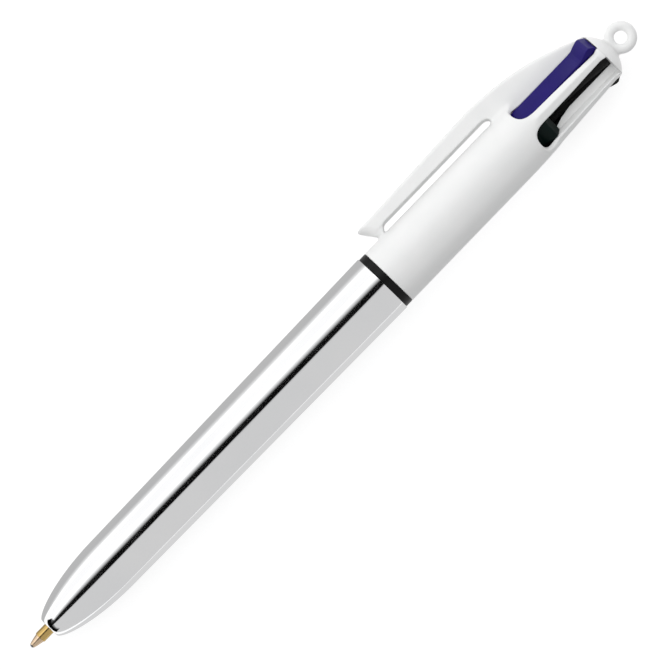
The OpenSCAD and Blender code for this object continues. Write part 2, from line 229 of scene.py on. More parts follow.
def tube(name, path, radius, sides=16, bore=0.0):
    """Round rod along a path of points, or a pipe if bore is given."""
    path = np.array(path, float)
    ahead = np.gradient(path, axis=0)
    ahead /= np.linalg.norm(ahead, axis=1)[:, None]
    side = np.cross(ahead, np.array([0.0, 0.0, 1.0]))
    upright = np.linalg.norm(side, axis=1) < 0.3
    side[upright] = np.cross(ahead[upright], np.array([0.0, 1.0, 0.0]))
    side /= np.linalg.norm(side, axis=1)[:, None]
    up = np.cross(side, ahead)
    a = np.linspace(0, 2 * math.pi, sides, endpoint=False)[None, :, None]

    def rings(r):
        return path[:, None] + r * (np.cos(a) * side[:, None] + np.sin(a) * up[:, None])

    loops = [rings(radius)]
    if bore:
        loops.append(rings(bore)[::-1])
    points = np.concatenate(loops).reshape(-1, 3)
    rows = len(points) // sides
    faces = []
    for i in range(rows if bore else rows - 1):
        j = (i + 1) % rows
        for k in range(sides):
            m = (k + 1) % sides
            faces.append([i * sides + k, i * sides + m, j * sides + m, j * sides + k])
    if not bore:
        faces.append(list(range(sides))[::-1])
        faces.append([(rows - 1) * sides + k for k in range(sides)])
    return weld(make_mesh(name, points, faces, 50))


# ------------------------------------------------------------------------------------------------
# Fields: a field is negative inside a moulding, and skin() draws the surface where it is 0
# ------------------------------------------------------------------------------------------------
def join(a, b, k):
    """Union of two fields with a fillet of about k."""
    h = np.clip(0.5 + 0.5 * (b - a) / k, 0, 1)
    return b + (a - b) * h - k * h * (1 - h)


def cut(a, b, k):
    """What fields a and b share, with its edges rounded by about k."""
    return -join(-a, -b, k)


def slope_of(field, p):
    """Gradient of a field at points p."""
    step = 0.01
    parts = []
    for axis in range(3):
        d = np.zeros(3)
        d[axis] = step
        parts.append((field(p + d) - field(p - d)) / (2 * step))
    return np.stack(parts, -1)


def skin(field, low, high, step, relax=4):
    """Even quad mesh on the surface of a field: points, quads and each point's unit normal. The
    points move onto the surface, then relax times towards their neighbours and back onto it."""
    onto_surface, least_slope, smoothing = 3, 0.05, 0.6
    low = np.floor(np.array(low, float) / step) * step
    count = np.ceil((np.array(high, float) - low) / step).astype(int) + 1
    axes = [low[i] + step * np.arange(count[i]) for i in range(3)]
    inside = np.empty(count, bool)
    for i, x in enumerate(axes[0]):
        plane = np.stack(np.meshgrid([x], axes[1], axes[2], indexing="ij"), -1)
        inside[i] = field(plane)[0] < 0
    n = count - 1
    filled = sum(
        inside[i : n[0] + i, j : n[1] + j, k : n[2] + k].astype(np.int8)
        for i in (0, 1)
        for j in (0, 1)
        for k in (0, 1)
    )
    crossed = (filled > 0) & (filled < 8)
    number = np.full(n, -1)
    number[crossed] = np.arange(crossed.sum())
    points = low + step * (np.argwhere(crossed) + 0.5)
    quads = []
    for axis in range(3):
        near = np.take(inside, np.arange(n[axis]), axis)
        far = np.take(inside, np.arange(1, n[axis] + 1), axis)
        edges = np.argwhere(near != far)
        b, c = (axis + 1) % 3, (axis + 2) % 3
        ok = (edges[:, b] > 0) & (edges[:, c] > 0) & (edges[:, b] < n[b]) & (edges[:, c] < n[c])
        edges = edges[ok]
        cells = []
        for sb, sc in ((0, 0), (1, 0), (1, 1), (0, 1)):
            cell = edges.copy()
            cell[:, b] -= sb
            cell[:, c] -= sc
            cells.append(number[tuple(cell.T)])
        quad = np.stack(cells, 1)
        outward = near[tuple(edges.T)]
        quad[~outward] = quad[~outward][:, ::-1]
        quads.append(quad)
    quads = np.concatenate(quads)
    pairs = np.concatenate([quads[:, [i, (i + 1) % 4]] for i in range(4)])
    degree = np.bincount(pairs[:, 0], minlength=len(points)).astype(float)
    for turn in range(relax + 1):
        for _ in range(onto_surface):
            g = slope_of(field, points)
            f = field(points)
            move = -(f / np.maximum((g * g).sum(-1), least_slope))[:, None] * g
            size = np.linalg.norm(move, axis=1)[:, None]
            points = points + move * np.minimum(1, step / np.maximum(size, 1e-9))
        if turn < relax:
            near_by = points[pairs[:, 1]]
            total = np.stack(
                [np.bincount(pairs[:, 0], near_by[:, i], len(points)) for i in range(3)], -1
            )
            points = points * (1 - smoothing) + total / degree[:, None] * smoothing
    g = slope_of(field, points)
    normals = g / np.linalg.norm(g, axis=1)[:, None]
    return points, quads, normals


def keep(points, quads, normals, wanted):
    """Only the wanted quads, with the points that they use."""
    used, index = np.unique(quads[wanted], return_inverse=True)
    return points[used], index.reshape(-1, 4), normals[used]


# ------------------------------------------------------------------------------------------------
# Materials
# ------------------------------------------------------------------------------------------------
class Paint:
    """A Principled material with short helpers for its nodes."""

    def __init__(self, name, colour, roughness, metallic=0.0, ior=1.5, **sockets):
        self.material = bpy.data.materials.new(name)
        self.material.use_nodes = True
        self.tree = self.material.node_tree
        self.shader = self.tree.nodes["Principled BSDF"]
        self.shader.inputs["Base Color"].default_value = (*colour, 1)
        self.shader.inputs["Roughness"].default_value = roughness
        self.shader.inputs["Metallic"].default_value = metallic
        self.shader.inputs["IOR"].default_value = ior
        for key, value in sockets.items():
            self.shader.inputs[key.replace("_", " ")].default_value = value
        self.place = self.node("ShaderNodeTexCoord").outputs["Object"]

    def node(self, kind, **inputs):
        """New node; an input's value is a socket to link or a number to set."""
        made = self.tree.nodes.new(kind)
        for key, value in inputs.items():
            if isinstance(value, bpy.types.NodeSocket):
                self.tree.links.new(value, made.inputs[key])
            else:
                made.inputs[key].default_value = value
        return made

    def noise(self, scale, detail=3.0, stretch=(1, 1, 1)):
        """Grey noise; scale is in cells per metre and stretch divides it along X, Y and Z."""
        mapping = self.node("ShaderNodeMapping", Vector=self.place)
        mapping.inputs["Scale"].default_value = tuple(1 / s for s in stretch)
        texture = self.node(
            "ShaderNodeTexNoise", Vector=mapping.outputs["Vector"], Scale=scale, Detail=detail
        )
        return texture.outputs["Fac"]

    def spread(self, value, low, high, start=0.3, end=0.7):
        """Maps a grey value between start and end to the range low to high."""
        made = self.node("ShaderNodeMapRange", Value=value)
        made.inputs["From Min"].default_value = start
        made.inputs["From Max"].default_value = end
        made.inputs["To Min"].default_value = low
        made.inputs["To Max"].default_value = high
        return made.outputs["Result"]

    def mix(self, fac, a, b):
        """Colour between a and b."""
        made = self.tree.nodes.new("ShaderNodeMix")
        made.data_type = "RGBA"
        self.tree.links.new(fac, made.inputs["Factor"])
        made.inputs["A"].default_value = (*a, 1)
        made.inputs["B"].default_value = (*b, 1)
        return made.outputs["Result"]

    def colour(self, socket):
        self.tree.links.new(socket, self.shader.inputs["Base Color"])

    def roughness(self, socket):
        self.tree.links.new(socket, self.shader.inputs["Roughness"])

    def bump(self, height, distance):
        made = self.node("ShaderNodeBump", Height=height)
        made.inputs["Distance"].default_value = distance
        made.inputs["Strength"].default_value = 1.0
        self.tree.links.new(made.outputs["Normal"], self.shader.inputs["Normal"])


MOULD_GRAIN = 0.000004
INK_GRAIN = 0.000002


def plastic(name, colour, tint, roughness, grain=MOULD_GRAIN, shine=0.5):
    """Moulded plastic: a faint change of tint, satin patches and a very fine grain."""
    paint = Paint(name, colour, roughness, Specular_IOR_Level=shine)
    paint.colour(paint.mix(paint.spread(paint.noise(260), 0, 1), colour, tint))
    paint.roughness(paint.spread(paint.noise(420, 4), roughness - 0.05, roughness + 0.06))
    paint.bump(paint.noise(5200, 2), grain)
    return paint.material


def chrome():
    """Mirror metallising over moulded plastic: slight haze and hairline wear along the pen."""
    paint = Paint("mirror_chrome", (0.94, 0.94, 0.95), 0.05, metallic=1.0)
    paint.roughness(paint.spread(paint.noise(180, 4), 0.035, 0.075))
    hairlines = paint.noise(9000, 2, stretch=(60, 1, 1))
    paint.bump(hairlines, 0.0000006)
    patches = paint.spread(paint.noise(90), 0, 1)
    paint.colour(paint.mix(patches, (0.955, 0.955, 0.96), (0.92, 0.925, 0.935)))
    return paint.material


def turned_brass():
    """Turned brass shank with a paler cone; the cone attribute says where."""
    shank, pale = (0.64, 0.44, 0.16), (0.74, 0.56, 0.39)
    paint = Paint("turned_brass", shank, 0.25, metallic=1.0)
    cone = paint.node("ShaderNodeAttribute")
    cone.attribute_name = "cone"
    paint.colour(paint.mix(cone.outputs["Fac"], shank, pale))
    paint.roughness(paint.spread(paint.noise(900, 3), 0.16, 0.3))
    paint.bump(paint.noise(14000, 1, stretch=(1, 40, 40)), 0.000002)
    return paint.material


def spring_wire():
    """Drawn steel wire with duller patches."""
    paint = Paint("spring_wire", (0.62, 0.62, 0.64), 0.3, metallic=1.0)
    patches = paint.spread(paint.noise(1200), 0, 1)
    paint.colour(paint.mix(patches, (0.66, 0.66, 0.67), (0.5, 0.5, 0.52)))
    paint.roughness(paint.spread(paint.noise(2500), 0.22, 0.4))
    return paint.material


def refill_plastic():
    """Milky, see-through tube."""
    paint = Paint("refill_tube", (0.93, 0.96, 0.96), 0.22, ior=1.45, Transmission_Weight=0.9)
    patches = paint.spread(paint.noise(300), 0, 1)
    paint.colour(paint.mix(patches, (0.95, 0.97, 0.97), (0.88, 0.92, 0.93)))
    paint.roughness(paint.spread(paint.noise(700), 0.16, 0.3))
    paint.bump(paint.noise(3000, 2), 0.000003)
    return paint.material


def ball_metal():
    """Grey hard metal of the writing balls."""
    paint = Paint("ball_metal", (0.5, 0.5, 0.53), 0.18, metallic=1.0)
    paint.roughness(paint.spread(paint.noise(6000), 0.12, 0.26))
    patches = paint.spread(paint.noise(5000), 0, 1)
    paint.colour(paint.mix(patches, (0.40, 0.40, 0.40), (0.30, 0.30, 0.31)))
    return paint.material


MATERIALS = {
    "mirror_chrome": chrome(),
    "white_plastic": plastic(
        "white_plastic", (0.87, 0.87, 0.865), (0.845, 0.85, 0.845), 0.34, shine=0.45
    ),
    "black_plastic": plastic(
        "black_plastic", (0.003, 0.003, 0.003), (0.006, 0.006, 0.006), 0.3, shine=0.16
    ),
    "slider_blue": plastic(
        "blue_plastic", (0.008, 0.0015, 0.12), (0.011, 0.002, 0.145), 0.34, shine=0.18
    ),
    "slider_green": plastic(
        "green_plastic", (0.0005, 0.005, 0.004), (0.001, 0.008, 0.0065), 0.34, shine=0.1
    ),
    "slider_black": plastic(
        "black_slider", (0.003, 0.003, 0.0035), (0.006, 0.006, 0.006), 0.3, shine=0.2
    ),
    "slider_red": plastic("red_plastic", (0.50, 0.008, 0.012), (0.58, 0.014, 0.018), 0.3),
    "spring_steel": spring_wire(),
    "refill_tube": refill_plastic(),
    "ink_blue": plastic("blue_ink", (0.01, 0.01, 0.17), (0.015, 0.015, 0.24), 0.2, INK_GRAIN),
    "ink_green": plastic("green_ink", (0.0, 0.05, 0.035), (0.0, 0.08, 0.05), 0.2, INK_GRAIN),
    "ink_black": plastic("black_ink", (0.004, 0.004, 0.005), (0.008, 0.008, 0.01), 0.2, INK_GRAIN),
    "ink_red": plastic("red_ink", (0.28, 0.004, 0.008), (0.36, 0.008, 0.012), 0.2, INK_GRAIN),
    "brass": turned_brass(),
    "ball_metal": ball_metal(),
}
SLOT_OF = {s["node"]: s["material_slot"] for s in frame["record"]["subparts"]}


def dress(obj, node, body=None):
    """Gives a piece the material slot of the CAD node that it replaces. It rides on a body if one
    is named."""
    slot = SLOT_OF[node]
    obj.data.materials.clear()
    obj.data.materials.append(MATERIALS[slot])
    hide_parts(node)
    if body:
        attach(obj, body)
    return obj


# ------------------------------------------------------------------------------------------------
# Turned pieces
# ------------------------------------------------------------------------------------------------
NOSE_R = 1.9
FRONT_R = 5.22
OGIVE_LEN = 16
NOSE_HOLE_R = 1.2
SLEEVE_ROOM_R = 4.85
SLEEVE_ROOM_H = 7.6
RING_BORE_R = 4.86
BALL_R = 0.5


def lower_barrel():
    """Thin shell with a rounded nose, a hole for the points and a wider room for the sleeve."""
    nose_steps, body_steps = 60, 30
    body_top = JOINT_Z - 0.12
    room_z = JOINT_Z - SLEEVE_ROOM_H
    nose = [(NOSE_R - 0.12, 0.0), (NOSE_R + 0.02, 0.02)]
    for i in range(1, nose_steps + 1):
        z = OGIVE_LEN * (i / nose_steps) ** 1.7
        r = NOSE_R + (FRONT_R - NOSE_R) * (1 - (1 - z / OGIVE_LEN) ** 2) ** 0.66
        nose.append((r, z))
    body = []
    for k in range(1, body_steps + 1):
        r = FRONT_R + (REAR_R - FRONT_R) * k / body_steps
        body.append((r, OGIVE_LEN + (body_top - OGIVE_LEN) * k / body_steps))
    rim = [(REAR_R - 0.03, JOINT_Z - 0.04), (REAR_R - 0.12, JOINT_Z)]
    room = [(SLEEVE_ROOM_R + 0.07, JOINT_Z), (SLEEVE_ROOM_R + 0.02, JOINT_Z - 0.05)]
    room += [(SLEEVE_ROOM_R, room_z), (SLEEVE_ROOM_R - 0.1, room_z)]
    bore = [(4.25, OGIVE_LEN), (3.95, 10), (NOSE_HOLE_R + 0.1, 1.9)]
    hole = [(NOSE_HOLE_R, 1.6), (NOSE_HOLE_R, 0.15), (NOSE_HOLE_R + 0.15, 0)]
    outline = nose + body + rim + room + bore + hole
    obj = lathe("lower_barrel_shell", outline, segments=256, sharp=25)
    dress(obj, "lower_barrel", "lower_barrel")


def trim_ring():
    """Plain band between the two barrels."""
    out_fillet, in_fillet = 0.12, 0.05
    outline = rounded(
        [
            (RING_BORE_R, JOINT_Z, in_fillet),
            (UPPER_R, JOINT_Z, out_fillet),
            (UPPER_R, RING_TOP_Z, out_fillet),
            (RING_BORE_R, RING_TOP_Z, in_fillet),
        ]
    )
    dress(lathe("trim_ring_band", outline, segments=192), "trim_ring", "trim_ring")


def threaded_sleeve():
    """Sleeve with its thread below the joint. It is pressed into the upper barrel."""
    pitch, depth, run_out = 1.5, 0.16, 0.8
    neck_r, bore_r, press_r, chamfer = 4.78, 4.12, 4.64, 0.25
    low, high = NECK_Z + 0.5, JOINT_Z - 0.9
    steps = 60

    def thread(r, z, a):
        on = (r > neck_r - 0.02) & (z > low) & (z < high)
        fade = np.clip(np.minimum(z - low, high - z) / run_out, 0, 1)
        wave = np.abs(((z / pitch - a / (2 * math.pi)) % 1) * 2 - 1)
        return r - np.where(on, depth * fade * np.clip(wave * 1.6 - 0.3, 0, 1), 0)

    foot = [(bore_r, NECK_Z), (neck_r - chamfer, NECK_Z), (neck_r, NECK_Z + chamfer)]
    neck = [(neck_r, low + (high - low) * k / steps) for k in range(steps + 1)]
    press = [(neck_r, RING_TOP_Z), (press_r, RING_TOP_Z), (press_r, SLEEVE_TOP_Z)]
    outline = foot + neck + press + [(bore_r, SLEEVE_TOP_Z)]
    obj = lathe("threaded_sleeve_body", outline, segments=96, sharp=50, bumps=thread)
    dress(obj, "threaded_sleeve", "upper_barrel")


def point(colour):
    """Writing point and its ball. The one that is out lies on the pen's axis."""
    out = colour == DOWN
    base = TIP_Z if out else TIP_Z + STROKE
    spot = {"offset": (0 if out else PITCH_R, 0), "angle": COLOURS[colour]}
    rim_r, rim_z, cone_wider, cone_h, cone_steps = 0.52, 0.45, 0.40, 1.75, 6
    cone_top = rim_z + cone_h
    shank_r, shank_top, spigot_r, spigot_top = 1.05, 8.6, 0.84, 11.5
    outline = [(0.3, 0.34), (0.42, 0.27), (0.485, 0.33), (rim_r, rim_z)]
    for k in range(1, cone_steps + 1):
        u = k / cone_steps
        outline.append((rim_r + cone_wider * u**0.85, rim_z + cone_h * k / cone_steps))
    outline += [(shank_r - 0.04, cone_top + 0.04), (shank_r, cone_top + 0.1)]
    outline += [(shank_r, shank_top - 0.2), (shank_r - 0.05, shank_top), (spigot_r, shank_top)]
    outline += [(spigot_r, spigot_top), (0.3, spigot_top + 0.1)]
    outline = [(r, z + base) for r, z in outline]
    obj = lathe(f"point_{colour}_tip", outline, segments=64, **spot)
    heights = np.array([along(v.co.x) for v in obj.data.vertices]) - base
    cone = obj.data.attributes.new("cone", "FLOAT", "POINT")
    cone.data.foreach_set("value", (heights < cone_top).astype(np.float32))
    dress(obj, f"point_{colour}", f"point_{colour}")
    half_turn = [math.pi * k / 24 for k in range(25)]
    rows = [(BALL_R * math.sin(a), base + BALL_R - BALL_R * math.cos(a)) for a in half_turn]
    ball = lathe(f"ball_{colour}_writing", rows, segments=48, sharp=60, **spot)
    dress(ball, f"ball_{colour}", f"point_{colour}")


# ------------------------------------------------------------------------------------------------
# Springs, refill tubes and ink, which bend or shorten with their joint
# ------------------------------------------------------------------------------------------------
BEND_LOW_Z, BEND_HIGH_Z = 12, 80
TUBE_R, TUBE_BORE_R = 1.25, 0.85
INK_START_H = 3
INK_LEVEL = {"blue": 70, "green": 66, "black": 62, "red": 74}


def bent_x(z):
    """Distance of the middle of a refill that is out from the pen's axis."""
    u = np.clip((z - BEND_LOW_Z) / (BEND_HIGH_Z - BEND_LOW_Z), 0, 1)
    return PITCH_R * u * u * (3 - 2 * u)


def refill(colour):
    """Refill tube and its ink, between the point and the slider."""
    out = colour == DOWN
    lift = 0 if out else STROKE
    low = TIP_Z + SHANK_H + lift
    ink_low = low + INK_START_H
    high = FOOT_Z - STROKE + lift

    def path(z0, z1):
        z = np.linspace(z0, z1, 70)
        x = bent_x(z) if out else np.full_like(z, PITCH_R)
        return about_axis(np.stack([x, np.zeros_like(z), z], -1), COLOURS[colour])

    pipe = tube(f"refill_tube_{colour}_pipe", path(low, high), TUBE_R, 32, TUBE_BORE_R)
    ink = path(ink_low, ink_low + INK_LEVEL[colour])
    fill = tube(f"ink_{colour}_fill", ink, TUBE_BORE_R - 0.02, 24)
    for obj, node in ((pipe, f"refill_tube_{colour}"), (fill, f"ink_{colour}")):
        dress(obj, node)
        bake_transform(obj)


def spring(colour):
    """Return spring from the seat to the slider's foot. Its end turns lie nearly flat."""
    top = FOOT_Z - (STROKE if colour == DOWN else 0)
    wire, coil_r, turns, steps_a_turn = 0.14, 1.55, 11, 24
    flat_climb, gap_at_top = 0.045, 0.1
    v = np.linspace(0, 1, turns * steps_a_turn + 1) * turns
    first, last = flat_climb * v, 1 - flat_climb * (turns - v)
    between = flat_climb + (1 - 2 * flat_climb) * (v - 1) / (turns - 2)
    climb = np.where(v < 1, first, np.where(v > turns - 1, last, between))
    a = 2 * math.pi * v
    z = SEAT_TOP_Z + wire + (top - SEAT_TOP_Z - 2 * wire - gap_at_top) * climb
    path = np.stack([PITCH_R + coil_r * np.cos(a), coil_r * np.sin(a), z], -1)
    obj = tube(f"spring_{colour}_coil", about_axis(path, COLOURS[colour]), wire, 10)
    dress(obj, f"spring_{colour}")
    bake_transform(obj)


# ------------------------------------------------------------------------------------------------
# Moulded pieces
# ------------------------------------------------------------------------------------------------
SLOT_Z = 118.25
CHANNEL_HALF_W = 2.25
CHANNEL_IN_R = 1.5
SLOT_HALF_ANGLE = math.radians(30)
UPPER_BORE_R = 4.65
SLOT_ROUNDING = 2.6
PILLAR_FOOT_R = 4.1
PILLAR_IN_R = 3.3
PILLAR_FULL_Z = 122.4
PILLAR_IN_CAP_H = 0.4
ROOF_COS, ROOF_SIN = 0.963, 0.269
PARTITION_IN_R = 1.95
PARTITION_HALF_T = 0.15
DOME_H = 2.2
CLIP_IN_R = 7.0
CLIP_END_R = 9.35
CLIP_HALF_W = 2.0
WEB_HALF_W = 1.62
WEB_IN_R = 4.2
ARM_FROM_R = 6.2
SEAM_Z = 113.0
FINE, COARSE = 0.14, 0.3
WIDE_FINE = FINE * 1.42
FAR = 9.0


def outer_r(z):
    """Outer radius of the upper barrel."""
    soft, start = 1.5, 116.5
    fall = (UPPER_R - CROWN_R) / (CROWN_Z - start)
    return UPPER_R - fall * soft * np.logaddexp(0, (z - start) / soft)


def clip_outside():
    """Outer line of the clip as heights and distances from the axis: nearly straight along the arm,
    then a curve down to the crown."""
    p = np.array([[CLIP_OUT_R, 113], [CLIP_OUT_R, 121.5], [8.1, 129.5], [CROWN_R - 0.1, CROWN_Z]])
    t = np.linspace(0, 1, 60)[:, None]
    ends = (1 - t) ** 3 * p[0] + t**3 * p[3]
    curve = ends + 3 * (1 - t) ** 2 * t * p[1] + 3 * (1 - t) * t * t * p[2]
    z = np.concatenate([[CLIP_Z - 2], [CLIP_Z + 6], [104], curve[:, 1]])
    x = np.concatenate([[CLIP_END_R - 0.12], [CLIP_END_R], [CLIP_END_R + 0.46], curve[:, 0]])
    return z, x


OUTSIDE = clip_outside()


def clip_field(p):
    """The clip and its web."""
    x, y, z = p[..., 0], p[..., 1], p[..., 2]
    bump_x, bump_h, bump_r, bump_narrower = 7.25, 2.8, 1.47, 0.25
    tip_slope, tip_curve = 0.65, 0.3
    width = np.interp(z, [112, 116.5, 119], [CLIP_HALF_W, WEB_HALF_W + 0.12, WEB_HALF_W])
    steepness = np.interp(z, [118, 124, 130, 137], [1, 0.93, 0.78, 0.62])
    bar = cut((x - np.interp(z, *OUTSIDE)) * steepness, np.abs(y) - width, 0.75)
    gap = cut(x - CLIP_IN_R, z - CLIP_ROOT_Z + 0.15, 1.6)
    bar = cut(bar, -gap, 0.3)
    bump = np.hypot(x - bump_x, z - CLIP_Z - bump_h) - bump_r
    bump = cut(bump, np.abs(y) - CLIP_HALF_W + bump_narrower, 0.4)
    tip = CLIP_Z - z + tip_slope * (CLIP_END_R - x)
    return cut(join(bar, bump, 0.7), tip + tip_curve * y * y, 0.7)


def beside_slot(x, y, angle):
    """Distance out along the middle of the slot at an angle, and distance to either side of it."""
    c, s = math.cos(math.radians(angle)), math.sin(math.radians(angle))
    return c * x + s * y, np.abs(c * y - s * x)


def dome_field(x, y, z):
    """Ball that shapes the top of the end cap."""
    radius = (CROWN_R**2 + DOME_H**2) / (2 * DOME_H)
    return np.sqrt(x * x + y * y + (z - CROWN_Z - DOME_H + radius) ** 2) - radius


def barrel_field(p):
    """The upper barrel with its slots, its roof-shaped pillars and the web of the clip."""
    x, y, z = p[..., 0], p[..., 1], p[..., 2]
    r = np.hypot(x, y)
    narrowing = [SLOT_Z + 0.6, PILLAR_FULL_Z - 0.8, PILLAR_FULL_Z]
    inner = np.interp(z, narrowing, [UPPER_BORE_R, PILLAR_FOOT_R, PILLAR_IN_R])
    outer = outer_r(z)
    roof = np.full(z.shape, -FAR)
    for angle in COLOURS.values():
        u, v = beside_slot(x, y, angle)
        roof = np.maximum(roof, ROOF_COS * u + ROOF_SIN * v)
    ridge = (ROOF_COS + ROOF_SIN) * math.sqrt(0.5)
    roof_ends = [SLOT_Z - 0.2, SLOT_Z + 3.2, CROWN_Z - 1.2, CROWN_Z]
    roof = roof - ridge * outer - np.interp(z, roof_ends, [0.8, 0, 0, 0.55])  # higher at its ends
    web = cut(clip_field(p), WEB_IN_R - x, 0.1)
    solid = join(cut(r - outer, roof, 0.2), web, 0.9)
    shell = cut(solid, inner - r, 0.1)
    under_cap = np.maximum(z - CROWN_Z - PILLAR_IN_CAP_H, dome_field(x, y, z) + 0.03)
    shell = cut(shell, np.minimum(z - CROWN_Z, under_cap), 0.04)
    shell = cut(shell, RING_TOP_Z - z, 0.16)
    opening = np.full(z.shape, FAR)
    for angle in COLOURS.values():
        u, v = beside_slot(x, y, angle)
        flare = v * math.cos(SLOT_HALF_ANGLE) - u * math.sin(SLOT_HALF_ANGLE)
        sides = np.minimum(flare, np.maximum(v - CHANNEL_HALF_W, CHANNEL_IN_R - u))
        opening = np.minimum(opening, cut(sides, SLOT_Z - z, SLOT_ROUNDING))
    return cut(shell, -opening, 0.25)


def upper_barrel():
    """The upper barrel without the clip's arm, which is a piece of its own."""
    step = WIDE_FINE
    low, high = (-6.3, -6.3, RING_TOP_Z - 0.5), (10.6, 6.3, CROWN_Z + 0.5)
    points, quads, normals = skin(barrel_field, low, high, step)
    middle = points[quads].mean(1)
    arm = (middle[:, 0] > ARM_FROM_R) & (middle[:, 2] < SEAM_Z)
    points, quads, normals = keep(points, quads, normals, ~arm)
    obj = make_mesh("upper_barrel_moulding", points, quads, normals=normals)
    dress(obj, "upper_barrel", "upper_barrel")


def partitions():
    """Thin walls between the sliders, from the back of each pillar nearly to the guide core."""
    back = PILLAR_IN_R + 1
    side = [
        (back, PILLAR_FULL_Z - 0.1),
        (PARTITION_IN_R + 0.9, PILLAR_FULL_Z),
        (PARTITION_IN_R + 0.35, PILLAR_FULL_Z + 1.8),
        (PARTITION_IN_R, PILLAR_FULL_Z + 4.1),
        (PARTITION_IN_R, CROWN_Z + 0.2),
        (back, CROWN_Z + 0.2),
    ]
    count = len(side)
    points, faces = [], []
    for turn in range(4):
        start = len(points)
        wall = [(r, y, z) for y in (-PARTITION_HALF_T, PARTITION_HALF_T) for r, z in side]
        points += about_axis(wall, 90 * turn).tolist()
        faces.append([start + k for k in range(count)])
        faces.append([start + count + k for k in range(count)][::-1])
        for k in range(count):
            m = (k + 1) % count
            faces.append([start + m, start + k, start + count + k, start + count + m])
    obj = weld(make_mesh("upper_barrel_partitions", points, faces, 30))
    soften(obj, 0.06)
    dress(obj, "upper_barrel", "upper_barrel")


def clip():
    """The clip's arm up to the seam, where it bends with the clip's joint."""
    step = WIDE_FINE
    low, high = (4.5, -3, CLIP_Z - 1), (10.6, 3, SEAM_Z + 4)
    points, quads, normals = skin(clip_field, low, high, step)
    arm = points[quads].mean(1)[:, 2] < SEAM_Z
    points, quads, normals = keep(points, quads, normals, arm)
    obj = dress(make_mesh("clip_arm", points, quads, normals=normals), "clip")
    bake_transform(obj)


def cap_field(p):
    """Domed end cap and its lanyard loop."""
    x, y, z = p[..., 0], p[..., 1], p[..., 2]
    wire = 0.9
    dome = cut(dome_field(x, y, z), np.hypot(x, y) - CROWN_R, 0.05)
    dome = cut(dome, CROWN_Z - z, 0.04)
    from_middle = np.hypot(x, z - LOOP_Z)
    ring = np.hypot(from_middle - (LOOP_R - wire), y) - wire
    both = join(dome, ring, 0.75)
    return cut(both, LOOP_HOLE_R - from_middle, 0.12)


def end_cap():
    """End cap in one piece with its loop."""
    step = FINE * 0.85
    low, high = (-5.2, -5.2, CROWN_Z - 0.5), (5.2, 5.2, LOOP_Z + LOOP_R + 0.5)
    points, quads, normals = skin(cap_field, low, high, step)
    obj = make_mesh("end_cap_moulding", points, quads, normals=normals)
    dress(obj, "end_cap", "upper_barrel")


def slider_field(p):
    """A slider in its upper place, in the plane of its own slot."""
    u, v, z = p[..., 0], np.abs(p[..., 1]), p[..., 2]
    face, half_w, in_r, in_half_w = 4.0, 2.1, 2.2, 0.8
    foot_r, foot_h, stub_r, stub_h = 1.65, 1.2, 0.72, 2
    face_steepness, diagonal = 0.9, 0.7071
    thumb_z = [132.6, 133.3, 134.4, 135, 135.4, 135.7, 136.1, 136.7]
    rise = np.interp(z, thumb_z, [0, 0.12, 0.6, 0.84, 0.9, 0.84, 0.5, 0.0])
    outer = (u - face - rise) * face_steepness
    flank = (v - in_half_w - (u - in_r)) * diagonal
    bar = cut(cut(outer, v - half_w, 0.16), in_r - u, 0.15)
    bar = cut(bar, flank, 0.15)
    bar = cut(cut(bar, z - SLIDER_TOP_Z, 0.1), FOOT_Z - z, 0.1)
    from_stub = np.hypot(u - PITCH_R, v)
    foot = cut(cut(from_stub - foot_r, z - FOOT_Z - foot_h, 0.2), FOOT_Z - z, 0.1)
    stub = cut(cut(from_stub - stub_r, z - FOOT_Z - 0.5, 0.1), FOOT_Z - stub_h - z, 0.2)
    shoulder = FOOT_Z + 0.2 + 1.1 * (v - 1.2) - z
    bar = cut(bar, np.maximum(shoulder, -FAR), 0.2)
    return join(join(bar, foot, 0.2), stub, 0.1)


def sliders():
    """The four sliders. The one that is down leans in about its foot."""
    step = FINE
    low, high = (0.8, -2.6, FOOT_Z - 4.5), (5.4, 2.6, SLIDER_TOP_Z + 0.5)
    points, quads, normals = skin(slider_field, low, high, step, relax=3)
    for colour, angle in COLOURS.items():
        p, n = points, normals
        if colour == DOWN:
            c, s = math.cos(LEAN), math.sin(LEAN)
            turn = np.array([[c, 0, -s], [0, 1, 0], [s, 0, c]])
            pivot = np.array([PITCH_R, 0, FOOT_Z])
            p = (points - pivot) @ turn.T + pivot - np.array([0, 0, STROKE])
            n = normals @ turn.T
        p, n = about_axis(p, angle), about_axis(n, angle)
        obj = make_mesh(f"slider_{colour}_button", p, quads, normals=n)
        dress(obj, f"slider_{colour}", f"slider_{colour}")


def inner_pieces():
    """The guide core and the spring seat keep their CAD shape, with softened edges."""
    for name in ("guide_core", "spring_seat"):
        obj = frame["nodes"][name]
        obj.data.materials.clear()
        obj.data.materials.append(MATERIALS["black_plastic"])
        soften(obj, 0.05)


# ------------------------------------------------------------------------------------------------
# Floor, light and camera
# ------------------------------------------------------------------------------------------------
PHOTO_WIDTH = 0.1152
LENS = 320.0
SENSOR = 36.0
VIEW_ANGLE = math.radians(97)
SCREEN_TILT = math.radians(45.96)
FRAME_SHIFT = (0.00058, 0.00019)

TO_CAMERA = (CLIP * math.cos(VIEW_ANGLE) + SIDE * math.sin(VIEW_ANGLE)).normalized()
PEN_RIGHT = AXIS.cross(TO_CAMERA)
PEN_MIDDLE = Vector(((CAD_BOX[0].x + CAD_BOX[1].x) / 2, ORIGIN.y, ORIGIN.z))


def aim(obj, place, target, up):
    """Puts obj at place, looking at target."""
    back = (place - target).normalized()
    right = up.cross(back).normalized()
    turn = Matrix((right, back.cross(right), back)).transposed()
    obj.matrix_world = Matrix.Translation(place) @ turn.to_4x4()


